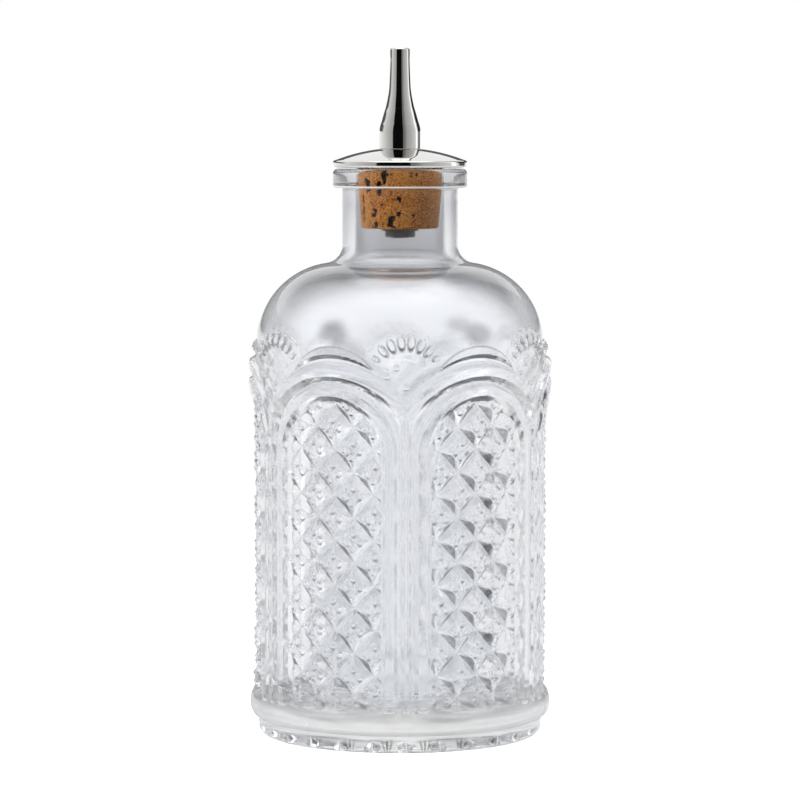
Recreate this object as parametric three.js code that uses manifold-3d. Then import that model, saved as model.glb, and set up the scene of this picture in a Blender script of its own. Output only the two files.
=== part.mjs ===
// A clear pressed-glass bitters bottle, closed by a metal dasher spout on a natural cork.
// Millimetres, +Z up. The origin is the centre of the foot's underside, and -Y is the front.

import * as THREE from "three";
import { mergeVertices, toCreasedNormals } from "three/addons/utils/BufferGeometryUtils.js";
import Module from "manifold-3d";

const wasm = await Module();
wasm.setup();

// Bottle: the revolved glass
const bodyRadius = 32.5;
const bodyHeight = 78.2;
const wall = 3.05;
const footRadius = 32.2;
const footHeight = 4.2;
const footCorner = 2;
const ringHeight = 6.5;
const ringBulge = 1.7;
const shoulderRadius = 18.4;
const neckRadius = 13.1;
const neckLength = 11.4;
const neckFillet = 6;
const lipRadius = 15.2;
const lipHeight = 4.3;
const lipCorner = 1.2;
const mouthCorner = 0.6;
const floorThickness = 9;
const floorCorner = 7;

// Bottle: the star cut under the foot
const rayCount = 24;
const restWidth = 2.7;
const rayHeight = 1.2;
const recessHeight = 0.6;
const hubRadius = 3;
const rayWidthShare = 0.9;

// Bottle: the raised ornament of the body, measured along the surface. Drops are measured
// down from the height where the shoulder starts.
const panelCount = 6;
const ribHeight = 1.9;
const ribWidth = 3;
const ribCrest = 1;
const ribRoot = 0.6;
const ornamentSink = 0.2;
const archRadius = 13.9;
const archDrop = 22.7;
const outerArchRadius = 20.5;
const outerArchDrop = 25;
const columnWidth = 2.3;
const latticePitch = 10.03;
const latticeInset = 3.6;
const ridgeHeight = 1;
const panelHeight = 0.15;
const panelRoot = 0.6;

// Bottle: the brows above the arches, and the fans and beads above the columns
const browAbove = 1.1;
const browThickness = 2.2;
const browRoundShare = 0.25;
const browHalfLength = 8.8;
const browRise = 4.6;
const browHeight = 1.1;
const fanDrop = 6.1;
const fanRadius = 8.3;
const fluteLength = 4;
const fluteWidth = 1.9;
const fluteHeight = 1;
const fluteAngles = [-56, -40, -24, -8, 8, 24, 40, 56];
const fluteSizeShares = [0.6, 0.85, 1, 1, 1, 1, 0.85, 0.6];
const beadRadius = 0.8;
const beadDrop = 1.6;
const beadReach = 4.3;
const beadSpotShares = [
  [0, -1],
  [-0.5, 1.7],
  [-1, 0.5],
];

// Stopper
const clearance = 0.3;
const seatGap = 0.1;
const corkHeight = 13.7;
const corkTaper = 1;
const corkEdge = 0.5;
const rimRadius = 15.2;
const rimThickness = 1.35;
const rimRound = 0.5;
const domeRadius = 40;
const stemRadius = 2.2;
const stemBore = 1.2;
const stemTail = 0.2;
const threadDepth = 0.25;
const threadPitch = 0.7;
const threadLength = 4.2;
const washerRadius = 4.2;
const washerThickness = 0.5;
const nutRadius = 3.4;
const nutThickness = 1.3;
const nutSlotWidth = 1;
const nutSlotDepth = 0.6;

// Spout: the radius at each height, as shares of the height above the cylinder
const spoutHeight = 22.5;
const spoutBaseRadius = 4.76;
const spoutBaseHeight = 4.1;
const spoutBaseEdge = 0.4;
const spoutTipRadius = 2.2;
const spoutTipRound = 0.5;
const spoutBore = 1;
const socketDepth = 5.5;
const taperHeightShares = [0.05, 0.12, 0.19, 0.26, 0.33, 0.42, 0.52, 0.68];
const taperRadiusShares = [0.86, 0.68, 0.5, 0.37, 0.25, 0.15, 0.09, 0.03];

// How finely round things are divided
const facesPerPanel = 6;
const hollowSides = 30;
const metalSides = 32;
const smallSides = 14;
const archSteps = 5;
const ringSteps = 4;
const shoulderSteps = 6;
const filletSteps = 2;
const cornerSteps = 2;
const domeSteps = 6;
const bossSides = 6;
const creaseAngle = THREE.MathUtils.degToRad(14);
const overrun = 1;

// Sizes that follow from those above
const boreRadius = neckRadius - wall;
const ringTop = footHeight + ringHeight;
const shoulderStart = ringTop + bodyHeight;
const shoulderAxis = bodyRadius - shoulderRadius;
const filletAxis = neckRadius + neckFillet;
const filletDrop = Math.sqrt((shoulderRadius + neckFillet) ** 2 - (filletAxis - shoulderAxis) ** 2);
const filletZ = shoulderStart + filletDrop;
const filletMeet = THREE.MathUtils.radToDeg(Math.atan2(filletDrop, filletAxis - shoulderAxis));
const lipBottom = filletZ + neckLength;
const bottleHeight = lipBottom + lipHeight;
const archSpring = shoulderStart - archDrop;
const outerArchCentre = shoulderStart - outerArchDrop;
const fanBase = shoulderStart - fanDrop;
const latticeStart = ringTop - latticeInset;
const ornamentRadius = bodyRadius + ribHeight / 2;
const panelPitch = (2 * Math.PI * ornamentRadius) / panelCount;
const glassSides = panelCount * facesPerPanel;
const domeSeat = bottleHeight + clearance;
const corkTop = domeSeat - seatGap;
const corkBottom = corkTop - corkHeight;
const corkTopRadius = boreRadius - clearance;
const washerTop = corkBottom - seatGap;
const nutTop = washerTop - washerThickness - seatGap;
const stemHole = stemRadius + clearance;
const rimTop = domeSeat + rimThickness;
const spoutLand = spoutBaseRadius + clearance;
const domeTop = rimTop + domeRise(spoutLand);
const spoutBottom = domeTop + clearance;

// How far the dome's sphere stands above its rim at this radius
function domeRise(radius) {
  return Math.sqrt(domeRadius ** 2 - radius ** 2) - Math.sqrt(domeRadius ** 2 - rimRadius ** 2);
}

// Points of a circular arc in the (radius, height) plane, angles in degrees
function arc(centreR, centreZ, radius, from, to, steps) {
  return Array.from({ length: steps + 1 }, (_, i) => {
    const angle = THREE.MathUtils.degToRad(from + ((to - from) * i) / steps);
    return [centreR + radius * Math.cos(angle), centreZ + radius * Math.sin(angle)];
  });
}

// A closed body of revolution about Z from [radius, height] points, counter-clockwise round its wall
function revolve(points, sides, start = 0) {
  const profile = points.map(([r, z]) => new THREE.Vector2(r, z));
  return new THREE.LatheGeometry(profile, sides, start).rotateX(Math.PI / 2);
}

// The same, for a wall that never meets the axis
function revolveRing(points, sides) {
  return revolve([...points, points[0]], sides);
}

// A geometry as a solid that can be joined and cut
function solid(geometry) {
  const bare = geometry.index ? geometry.toNonIndexed() : geometry.clone();
  bare.deleteAttribute("normal");
  bare.deleteAttribute("uv");
  const merged = mergeVertices(bare);
  return new wasm.Manifold(
    new wasm.Mesh({
      numProp: 3,
      vertProperties: new Float32Array(merged.attributes.position.array),
      triVerts: new Uint32Array(merged.index.array),
    }),
  );
}

function geometryOf(manifold) {
  const mesh = manifold.getMesh();
  const geometry = new THREE.BufferGeometry();
  geometry.setAttribute("position", new THREE.BufferAttribute(mesh.vertProperties, 3));
  geometry.setIndex(new THREE.BufferAttribute(mesh.triVerts, 1));
  return geometry;
}

function joined(geometries) {
  return geometries.map(solid).reduce((whole, next) => whole.add(next));
}

// The plain glass surface at this height, in the stretch that carries ornament
function surfaceRadius(z) {
  const above = Math.max(0, z - shoulderStart);
  return shoulderAxis + Math.sqrt(Math.max(0, shoulderRadius ** 2 - above ** 2));
}

// Ornament is drawn flat: X runs round the bottle, -Y stands out of the glass, Z is height.
// This bends it round the bottle, centred on an angle that starts from the front.
function wrapRound(geometry, angle) {
  const wrapped = geometry.clone();
  const place = wrapped.attributes.position;
  for (let i = 0; i < place.count; i++) {
    const turn = angle + place.getX(i) / ornamentRadius;
    const radius = surfaceRadius(place.getZ(i)) - place.getY(i);
    place.setXYZ(i, radius * Math.sin(turn), -radius * Math.cos(turn), place.getZ(i));
  }
  return wrapped;
}

// A flat outline in (X, Z), raised out of the glass with sloping sides that start just under it
function raised(shape, height, edge, root) {
  const plate = new THREE.ExtrudeGeometry(shape, {
    depth: root,
    curveSegments: archSteps,
    bevelThickness: height + ornamentSink,
    bevelSize: edge,
    bevelSegments: 1,
  });
  return plate.rotateX(Math.PI / 2).translate(0, root + ornamentSink, 0);
}

function archRib() {
  const half = ribCrest / 2;
  const foot = ringTop - ribRoot;
  const shape = new THREE.Shape();
  shape.moveTo(archRadius + half, foot);
  shape.lineTo(archRadius + half, archSpring);
  shape.absarc(0, archSpring, archRadius + half, 0, Math.PI, false);
  shape.lineTo(-archRadius - half, foot);
  shape.lineTo(-archRadius + half, foot);
  shape.lineTo(-archRadius + half, archSpring);
  shape.absarc(0, archSpring, archRadius - half, Math.PI, 0, true);
  shape.lineTo(archRadius - half, foot);
  return raised(shape, ribHeight, (ribWidth - ribCrest) / 2, ribRoot);
}

// The flatter arch over it, whose ends meet their neighbours on the columns
function outerRib() {
  const half = ribCrest / 2;
  const from = Math.acos(Math.min(1, panelPitch / 2 / outerArchRadius));
  const shape = new THREE.Shape();
  shape.absarc(0, outerArchCentre, outerArchRadius + half, from, Math.PI - from, false);
  shape.absarc(0, outerArchCentre, outerArchRadius - half, Math.PI - from, from, true);
  return raised(shape, ribHeight, (ribWidth - ribCrest) / 2, ribRoot);
}

function column() {
  const half = ribCrest / 2;
  const meet = Math.sqrt(Math.max(0, outerArchRadius ** 2 - (panelPitch / 2) ** 2));
  const top = outerArchCentre + meet;
  const shape = new THREE.Shape();
  shape.moveTo(half, ringTop - ribRoot);
  shape.lineTo(half, top);
  shape.lineTo(-half, top);
  shape.lineTo(-half, ringTop - ribRoot);
  return raised(shape, ribHeight, (columnWidth - ribCrest) / 2, ribRoot);
}

// The diamond lattice that fills an arch, as one pad whose edge lies under the arch's rib.
// Ridges run along the diamonds' sides, and each quarter of a diamond falls from its two
// raised corners to the low spot in the middle.
function lattice() {
  const half = latticePitch / 2;
  const places = new Map();
  const positions = [];
  const faces = [];
  const sides = new Map();
  const reach = (x, z) => Math.hypot(x, Math.max(0, z - archSpring));
  const place = (x, z, height) => {
    const key = x.toFixed(3) + "," + z.toFixed(3);
    if (!places.has(key)) {
      const up = Math.max(0, z - archSpring);
      const beyond = reach(x, z) > archRadius;
      const pull = beyond ? archRadius / reach(x, z) : 1;
      const [px, pz] = [x * pull, z - up * (1 - pull)];
      places.set(key, positions.length / 3);
      positions.push(px, beyond ? -panelHeight : -height, pz, px, panelRoot, pz);
    }
    return places.get(key);
  };
  const triangle = (a, b, c) => {
    faces.push(a, b, c, a + 1, c + 1, b + 1);
    [[a, b], [b, c], [c, a]].forEach(([from, to]) => {
      if (!sides.delete(to + "," + from)) sides.set(from + "," + to, [from, to]);
    });
  };
  const quarter = (x, z, right, up) => {
    const corners = [reach(x, z), reach(x + right * half, z), reach(x, z + up * half)];
    if (Math.min(...corners) >= archRadius) return;
    const middle = place(x, z, panelHeight);
    const side = place(x + right * half, z, ridgeHeight);
    const tip = place(x, z + up * half, ridgeHeight);
    if (right * up > 0) triangle(middle, side, tip);
    else triangle(middle, tip, side);
  };
  const last = Math.ceil((archSpring + archRadius - latticeStart) / half);
  const across = Math.ceil(archRadius / half);
  for (let row = 0; row < last; row++) {
    for (let column = -across; column <= across; column++) {
      if ((row + column) % 2 === 0) continue;
      const [x, z] = [column * half, latticeStart + row * half];
      for (const right of [1, -1]) [1, -1].forEach((up) => quarter(x, z, right, up));
    }
  }
  sides.forEach(([from, to]) => faces.push(from, from + 1, to, to, from + 1, to + 1));
  const geometry = new THREE.BufferGeometry();
  geometry.setAttribute("position", new THREE.Float32BufferAttribute(positions, 3));
  geometry.setIndex(faces);
  return geometry;
}

// The crescent above an arch: a steep upper arc over a flatter lower one
function brow() {
  const rounded = browThickness * browRoundShare;
  const length = browHalfLength - rounded;
  const upperRise = browRise - rounded;
  const lowerRise = browRise - browThickness + rounded;
  const radiusFor = (rise) => (length ** 2 + rise ** 2) / (2 * rise);
  const upper = radiusFor(upperRise);
  const lower = radiusFor(lowerRise);
  const ends = shoulderStart + browAbove - browRise;
  const span = (radius) => Math.asin(length / radius);
  const quarter = Math.PI / 2;
  const shape = new THREE.Shape();
  const [wide, flat] = [span(upper), span(lower)];
  shape.absarc(0, ends + upperRise - upper, upper, quarter - wide, quarter + wide, false);
  shape.absarc(0, ends + lowerRise - lower, lower, quarter + flat, quarter - flat, true);
  return raised(shape, browHeight, rounded, ribRoot);
}

// A low oval boss, long in Z before it is turned by the angle
function boss(width, length, height, angle) {
  return new THREE.SphereGeometry(1, bossSides, 2)
    .scale(width / 2, height + ornamentSink, length / 2)
    .rotateY(THREE.MathUtils.degToRad(angle));
}

function fan() {
  return fluteAngles.map((angle, i) => {
    const share = fluteSizeShares[i];
    const turn = THREE.MathUtils.degToRad(angle);
    return boss(fluteWidth * share, fluteLength * share, fluteHeight, angle).translate(
      fanRadius * Math.sin(turn),
      ornamentSink,
      fanBase + fanRadius * Math.cos(turn),
    );
  });
}

function beads() {
  return beadSpotShares.map(([across, up]) =>
    boss(2 * beadRadius, 2 * beadRadius, beadRadius, 0).translate(
      across * beadReach,
      ornamentSink,
      fanBase + up * beadDrop,
    ),
  );
}

// The bottle's outside, from under the foot up to the mouth
function bottleOutside() {
  const restOuter = footRadius - footCorner;
  const restInner = restOuter - restWidth;
  const lipAxis = lipRadius - lipCorner;
  const ring = Array.from({ length: ringSteps }, (_, i) => {
    const angle = (Math.PI * (i + 0.5)) / ringSteps;
    const bulge = ringBulge * Math.sin(angle);
    return [bodyRadius + bulge, footHeight + (ringHeight * (1 - Math.cos(angle))) / 2];
  });
  return revolve(
    [
      [0, recessHeight],
      [restInner, recessHeight],
      [restInner, 0],
      ...arc(restOuter, footCorner, footCorner, -90, 0, cornerSteps),
      [footRadius, footHeight],
      ...ring,
      [bodyRadius, ringTop],
      ...arc(shoulderAxis, shoulderStart, shoulderRadius, 0, filletMeet, shoulderSteps),
      ...arc(filletAxis, filletZ, neckFillet, 180 + filletMeet, 180, filletSteps).slice(1),
      [neckRadius, lipBottom],
      ...arc(lipAxis, lipBottom + lipCorner, lipCorner, -90, 0, cornerSteps),
      ...arc(lipAxis, bottleHeight - lipCorner, lipCorner, 0, 90, cornerSteps),
      [0, bottleHeight],
    ],
    glassSides,
    Math.PI / panelCount,
  );
}

// The hollow inside it, a wall's thickness in, from the floor up through the mouth
function hollow() {
  const innerRadius = bodyRadius - wall;
  const floorEdge = floorThickness + floorCorner;
  return revolve(
    [
      [0, floorThickness],
      ...arc(innerRadius - floorCorner, floorEdge, floorCorner, -90, 0, cornerSteps + 1),
      ...arc(shoulderAxis, shoulderStart, shoulderRadius - wall, 0, filletMeet, shoulderSteps - 1),
      ...arc(filletAxis, filletZ, neckFillet + wall, 180 + filletMeet, 180, filletSteps).slice(1),
      [boreRadius, bottleHeight - mouthCorner],
      [boreRadius + mouthCorner + overrun, bottleHeight + overrun],
      [0, bottleHeight + overrun],
    ],
    hollowSides,
  );
}

// Pyramids that cut the star, each with its point towards the hub
function starRays() {
  const outer = footRadius - footCorner - restWidth;
  const length = outer - hubRadius;
  const width = ((2 * Math.PI * outer) / rayCount) * rayWidthShare;
  return Array.from({ length: rayCount }, (_, i) =>
    new THREE.ConeGeometry(1, 1, 4, 1)
      .scale(width / 2, length, rayHeight)
      .translate(0, -hubRadius - length / 2, recessHeight)
      .rotateZ((2 * Math.PI * i) / rayCount),
  );
}

function glassBottle() {
  const onPanel = geometryOf(joined([archRib(), outerRib(), brow(), lattice()]));
  const onColumn = geometryOf(joined([column(), ...fan(), ...beads()]));
  let glass = solid(bottleOutside());
  for (let i = 0; i < panelCount; i++) {
    const angle = (2 * Math.PI * i) / panelCount;
    glass = glass.add(solid(wrapRound(onColumn, angle)));
    glass = glass.add(solid(wrapRound(onPanel, angle + Math.PI / panelCount)));
  }
  return geometryOf(glass.subtract(joined(starRays())).subtract(solid(hollow())));
}

function corkStopper() {
  const bottomRadius = corkTopRadius - corkTaper;
  return revolveRing(
    [
      [stemHole, corkBottom],
      [bottomRadius - corkEdge, corkBottom],
      [bottomRadius, corkBottom + corkEdge],
      [corkTopRadius, corkTop - corkEdge],
      [corkTopRadius - corkEdge, corkTop],
      [stemHole, corkTop],
    ],
    metalSides,
  );
}

function domeFlange() {
  const edge = rimRadius - rimRound;
  const dome = Array.from({ length: domeSteps + 1 }, (_, i) => {
    const radius = edge - ((edge - spoutLand) * i) / domeSteps;
    return [radius, rimTop + domeRise(radius)];
  });
  return revolveRing(
    [
      [stemHole, domeSeat],
      ...arc(edge, domeSeat + rimRound, rimRound, -90, 0, cornerSteps),
      [rimRadius, rimTop - rimRound],
      ...dome,
      [stemHole, domeTop],
    ],
    metalSides,
  );
}

// The taper's points, from the top of the spout's cylinder to its straight tip
function taper() {
  const from = spoutBottom + spoutBaseHeight;
  const height = spoutHeight - spoutBaseHeight;
  const drop = spoutBaseRadius - spoutTipRadius;
  return taperHeightShares.map((share, i) => [
    spoutTipRadius + drop * taperRadiusShares[i],
    from + height * share,
  ]);
}

function pourSpout() {
  const top = spoutBottom + spoutHeight;
  const socketTop = spoutBottom + socketDepth;
  return revolveRing(
    [
      [stemHole, spoutBottom],
      [spoutBaseRadius - spoutBaseEdge, spoutBottom],
      [spoutBaseRadius, spoutBottom + spoutBaseEdge],
      [spoutBaseRadius, spoutBottom + spoutBaseHeight],
      ...taper(),
      ...arc(spoutTipRadius - spoutTipRound, top - spoutTipRound, spoutTipRound, 0, 90, cornerSteps),
      [spoutBore, top],
      [spoutBore, socketTop + stemHole - spoutBore],
      [stemHole, socketTop],
    ],
    metalSides,
  );
}

// Ridges of a thread between two heights, from below upwards
function threadPoints(from, to) {
  const turns = Math.floor((to - from) / threadPitch);
  const points = [];
  for (let i = 0; i < turns; i++) {
    points.push([stemRadius - threadDepth, from + i * threadPitch]);
    points.push([stemRadius, from + (i + 0.5) * threadPitch]);
  }
  points.push([stemRadius - threadDepth, from + turns * threadPitch]);
  return points;
}

function stemTube() {
  const bottom = nutTop - nutThickness - stemTail;
  const top = spoutBottom + socketDepth - clearance;
  return revolveRing(
    [
      [stemBore, bottom],
      ...threadPoints(bottom, bottom + threadLength),
      [stemRadius, bottom + threadLength + threadPitch],
      [stemRadius, top - threadLength - threadPitch],
      ...threadPoints(top - threadLength, top),
      [stemBore, top],
    ],
    smallSides,
  );
}

function endWasher() {
  const bottom = washerTop - washerThickness;
  return revolveRing(
    [
      [stemHole, bottom],
      [washerRadius, bottom],
      [washerRadius, washerTop],
      [stemHole, washerTop],
    ],
    metalSides,
  );
}

// A slim round nut with a screwdriver slot across its lower face
function clampNut() {
  const bottom = nutTop - nutThickness;
  const ring = revolveRing(
    [
      [stemHole, bottom],
      [nutRadius, bottom],
      [nutRadius, nutTop],
      [stemHole, nutTop],
    ],
    metalSides,
  );
  const slot = new THREE.BoxGeometry(2 * (nutRadius + overrun), nutSlotWidth, 2 * nutSlotDepth);
  return geometryOf(solid(ring).subtract(solid(slot.translate(0, 0, bottom))));
}

function finish(color, roughness, metalness) {
  return new THREE.MeshStandardMaterial({ color, roughness, metalness });
}

const clearGlass = finish(0xe6ebef, 0.03, 0);
clearGlass.transparent = true;
clearGlass.opacity = 0.35;
const naturalCork = finish(0xa8682f, 0.85, 0);
const polishedChrome = finish(0xd9d9d6, 0.06, 1);
const plainSteel = finish(0x8f8f8f, 0.3, 1);

function piece(name, geometry, material) {
  const mesh = new THREE.Mesh(toCreasedNormals(geometry, creaseAngle), material);
  mesh.name = name;
  return mesh;
}

const stopper = new THREE.Group();
stopper.add(
  piece("cork_stopper", corkStopper(), naturalCork),
  piece("dome_flange", domeFlange(), polishedChrome),
  piece("stem_tube", stemTube(), plainSteel),
  piece("end_washer", endWasher(), plainSteel),
  piece("clamp_nut", clampNut(), plainSteel),
  piece("pour_spout", pourSpout(), polishedChrome),
);

const bottle = new THREE.Group();
bottle.add(piece("glass_bottle", glassBottle(), clearGlass), stopper);

export default bottle;
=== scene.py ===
import math
import bpy
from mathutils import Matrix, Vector


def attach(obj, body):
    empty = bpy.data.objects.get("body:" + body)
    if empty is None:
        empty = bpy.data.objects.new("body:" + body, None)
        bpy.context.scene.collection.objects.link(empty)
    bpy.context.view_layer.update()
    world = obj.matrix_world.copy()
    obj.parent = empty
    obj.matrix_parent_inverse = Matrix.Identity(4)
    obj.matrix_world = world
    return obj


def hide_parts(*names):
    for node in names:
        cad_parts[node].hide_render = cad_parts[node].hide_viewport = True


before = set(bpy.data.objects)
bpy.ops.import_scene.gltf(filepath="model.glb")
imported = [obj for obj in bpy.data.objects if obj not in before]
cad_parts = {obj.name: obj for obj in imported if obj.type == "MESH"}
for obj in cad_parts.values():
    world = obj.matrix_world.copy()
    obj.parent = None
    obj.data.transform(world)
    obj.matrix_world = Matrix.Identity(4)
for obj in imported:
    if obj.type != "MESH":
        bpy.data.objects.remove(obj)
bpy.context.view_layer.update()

MM = 0.001
scene = bpy.context.scene


class Socket:
    """An output of a node. Arithmetic on it adds Math nodes to its tree."""

    def __init__(self, tree, source):
        self.tree = tree
        self.source = source

    def __getitem__(self, name):
        return Socket(self.tree, self.source.node.outputs[name])

    def __add__(self, other):
        return self.tree.math("ADD", self, other)

    __radd__ = __add__

    def __sub__(self, other):
        return self.tree.math("SUBTRACT", self, other)

    def __rsub__(self, other):
        return self.tree.math("SUBTRACT", other, self)

    def __mul__(self, other):
        return self.tree.math("MULTIPLY", self, other)

    __rmul__ = __mul__

    def __truediv__(self, other):
        return self.tree.math("DIVIDE", self, other)

    def __rtruediv__(self, other):
        return self.tree.math("DIVIDE", other, self)

    def __abs__(self):
        return self.tree.math("ABSOLUTE", self)


class Tree:
    """A node tree that is built one node at a time."""

    def __init__(self, nodes):
        self.nodes = nodes

    def add(self, kind, settings=None, sockets=None, out=0):
        node = self.nodes.nodes.new(kind)
        for name, value in (settings or {}).items():
            setattr(node, name, value)
        for name, value in (sockets or {}).items():
            if isinstance(value, Socket):
                self.nodes.links.new(value.source, node.inputs[name])
            else:
                node.inputs[name].default_value = value
        return Socket(self, node.outputs[out]) if len(node.outputs) else node

    def math(self, operation, *values):
        return self.add("ShaderNodeMath", {"operation": operation}, dict(enumerate(values)))

    def root(self, value):
        return self.math("SQRT", self.math("MAXIMUM", value, 0))

    def most(self, first, *others):
        for other in others:
            first = self.math("MAXIMUM", first, other)
        return first

    def step(self, value, low, high, rise="SMOOTHSTEP"):
        """0 below low, 1 above high, and a smooth or LINEAR rise between them."""
        return self.add(
            "ShaderNodeMapRange",
            {"interpolation_type": rise},
            {"Value": value, "From Min": low, "From Max": high},
        )

    def length(self, across, up):
        return self.root(across * across + up * up)

    def axes(self, place):
        apart = self.add("ShaderNodeSeparateXYZ", sockets={0: place})
        return apart["X"], apart["Y"], apart["Z"]

    def mix(self, share, first, second):
        """A colour between two others."""
        return self.add(
            "ShaderNodeMix", {"data_type": "RGBA"}, {0: share, 6: first, 7: second}, out=2
        )


# The bottle's sizes
foot_radius = 32.2 * MM
foot_height = 4.2 * MM
foot_corner = 2 * MM
rest_width = 2.7 * MM
recess = 0.6 * MM
ring_height = 6.5 * MM
ring_bulge = 1.7 * MM
body_radius = 32.5 * MM
body_height = 78.2 * MM
wall = 3.05 * MM
shoulder_radius = 18.4 * MM
neck_radius = 13.1 * MM
neck_fillet = 4 * MM
lip_rise = 35.282 * MM
lip_radius = 15.2 * MM
lip_height = 4.3 * MM
lip_corner = 1.2 * MM
lip_fillet = 0.5 * MM
mouth_corner = 0.6 * MM
floor_thickness = 9 * MM
floor_corner = 7 * MM

ring_top = foot_height + ring_height
shoulder_start = ring_top + body_height
shoulder_axis = body_radius - shoulder_radius
fillet_axis = neck_radius + neck_fillet
fillet_height = shoulder_start + math.sqrt(
    (shoulder_radius + neck_fillet) ** 2 - (fillet_axis - shoulder_axis) ** 2
)
fillet_meet = math.degrees(math.atan2(fillet_height - shoulder_start, fillet_axis - shoulder_axis))
lip_bottom = shoulder_start + lip_rise
mouth = lip_bottom + lip_height
bore = neck_radius - wall
ornament_radius = body_radius + 0.95 * MM


def arc(axis, height, radius, start, end, steps):
    """Points of an arc in the (radius, height) plane, angles in degrees."""
    angles = [math.radians(start + (end - start) * i / steps) for i in range(steps + 1)]
    return [(axis + radius * math.cos(a), height + radius * math.sin(a)) for a in angles]


def line(start, end, steps):
    """Points from start towards end, without the last."""
    return [
        tuple(a + (b - a) * i / steps for a, b in zip(start, end)) for i in range(steps)
    ]


def turned(name, rows, closed=True):
    """A mesh of rings about Z from (radius, height, sides) rows. Of two rings that meet, the
    sides of one divide those of the other."""
    places, faces, rings = [], [], []
    for radius, height, sides in rows:
        start = len(places)
        count = sides if radius > 0 else 1
        rings.append((start, count))
        for i in range(count):
            turn = 2 * math.pi * i / count
            places.append((radius * math.sin(turn), -radius * math.cos(turn), height))
    pairs = list(zip(rings, rings[1:])) + ([(rings[-1], rings[0])] if closed else [])
    for (low, low_count), (high, high_count) in pairs:
        parts = max(min(low_count, high_count), 1)
        if parts == 1:
            parts = max(low_count, high_count)
        low_step, high_step = low_count / parts, high_count / parts
        for i in range(parts):
            low_ends = range(max(1, int(low_step)) + 1)
            high_ends = range(max(1, int(high_step)) + 1)
            below = [low + int(i * low_step + k) % low_count for k in low_ends]
            above = [high + int(i * high_step + k) % high_count for k in high_ends]
            if low_count == 1:
                below = [low]
            if high_count == 1:
                above = [high]
            faces.append(below + above[::-1])
    mesh = bpy.data.meshes.new(name)
    mesh.from_pydata(places, [], faces)
    mesh.shade_smooth()
    return mesh


def store(tree, geometry, name, value):
    """Keeps a number at each point, for the material to read."""
    return tree.add(
        "GeometryNodeStoreNamedAttribute",
        {"data_type": "FLOAT", "domain": "POINT"},
        {"Geometry": geometry, "Name": name, "Value": value},
    )


def in_place(name, mesh):
    piece = bpy.data.objects.new(name, mesh)
    scene.collection.objects.link(piece)
    return piece


def shaped(name, mesh, finish, sizes, rule):
    """A piece whose mesh is shaped by a Geometry Nodes rule with named sizes."""
    group = bpy.data.node_groups.new(name + "_rule", "GeometryNodeTree")
    tree = Tree(group)
    group.interface.new_socket("Geometry", in_out="OUTPUT", socket_type="NodeSocketGeometry")
    group.interface.new_socket("Geometry", in_out="INPUT", socket_type="NodeSocketGeometry")
    inputs = {
        label: group.interface.new_socket(label, in_out="INPUT", socket_type="NodeSocketFloat")
        for label in sizes
    }
    given = tree.add("NodeGroupInput")
    grown = rule(tree, given)
    whole = tree.add("GeometryNodeRealizeInstances", sockets={0: grown})
    done = tree.add("GeometryNodeSetMaterial", sockets={"Geometry": whole, "Material": finish})
    tree.add("NodeGroupOutput", sockets={0: done})
    piece = in_place(name, mesh)
    modifier = piece.modifiers.new("shape", "NODES")
    modifier.node_group = group
    for label, socket in inputs.items():
        modifier[socket.identifier] = sizes[label]
    seen = piece.evaluated_get(bpy.context.evaluated_depsgraph_get())
    plain = bpy.data.meshes.new_from_object(seen)
    piece.modifiers.clear()
    piece.data = plain
    return piece


def material(name, surface, volume=None):
    """A material whose surface and volume are what these functions of its tree return."""
    made = bpy.data.materials.new(name)
    made.use_nodes = True
    made.node_tree.nodes.clear()
    tree = Tree(made.node_tree)
    sockets = {"Surface": surface(tree)}
    if volume:
        sockets["Volume"] = volume(tree)
    tree.add("ShaderNodeOutputMaterial", sockets=sockets)
    return made


def object_place(tree):
    return tree.add("ShaderNodeTexCoord", out="Object")


def attribute(tree, name):
    return tree.add("ShaderNodeAttribute", {"attribute_name": name}, out="Fac")


def noise(tree, place, scale, detail=2, roughness=0.5):
    return tree.add(
        "ShaderNodeTexNoise",
        sockets={"Vector": place, "Scale": scale, "Detail": detail, "Roughness": roughness},
    )


def specks(tree, place, z):
    """How far fine specks stand out, on the outside of the ornamented wall alone."""
    x, y, _ = tree.axes(place)
    body = glass_sizes["Body radius"]
    skin = tree.step(tree.length(x, y), body - 2.6 * MM, body - 2 * MM)
    above_foot = tree.step(z, foot_height, foot_height + 1 * MM)
    below_shoulder = 1 - tree.step(z, shoulder_start - 2 * MM, shoulder_start)
    speck_height = 0.06 * MM
    spots = tree.step(noise(tree, place, 1500, 2), 0.62, 0.72)
    return spots * (skin * above_foot * below_shoulder) * speck_height


def crisp_normal(tree, height, worked):
    """The normal with the ornament's own slopes on the plain wall, crisper than the mesh's."""
    plain = tree.add("ShaderNodeAttribute", {"attribute_name": "plain"}, out="Vector")
    plain = tree.add(
        "ShaderNodeVectorTransform",
        {"vector_type": "NORMAL", "convert_from": "OBJECT", "convert_to": "WORLD"},
        {0: plain},
    )
    seen = tree.add("ShaderNodeNewGeometry", out="Normal")
    outward = tree.add(
        "ShaderNodeVectorMath", {"operation": "DOT_PRODUCT"}, {0: plain, 1: seen}, out="Value"
    )
    crisp = tree.add(
        "ShaderNodeBump", sockets={"Strength": 1, "Distance": 1, "Height": height, "Normal": plain}
    )
    # A ray inside the wall meets its back, where the normal points the other way
    crisp = tree.add(
        "ShaderNodeVectorMath",
        {"operation": "SCALE"},
        {0: crisp, "Scale": tree.math("SIGN", outward)},
    )
    return tree.add("ShaderNodeMix", {"data_type": "VECTOR"}, {0: worked, 4: seen, 5: crisp}, out=1)


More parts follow.
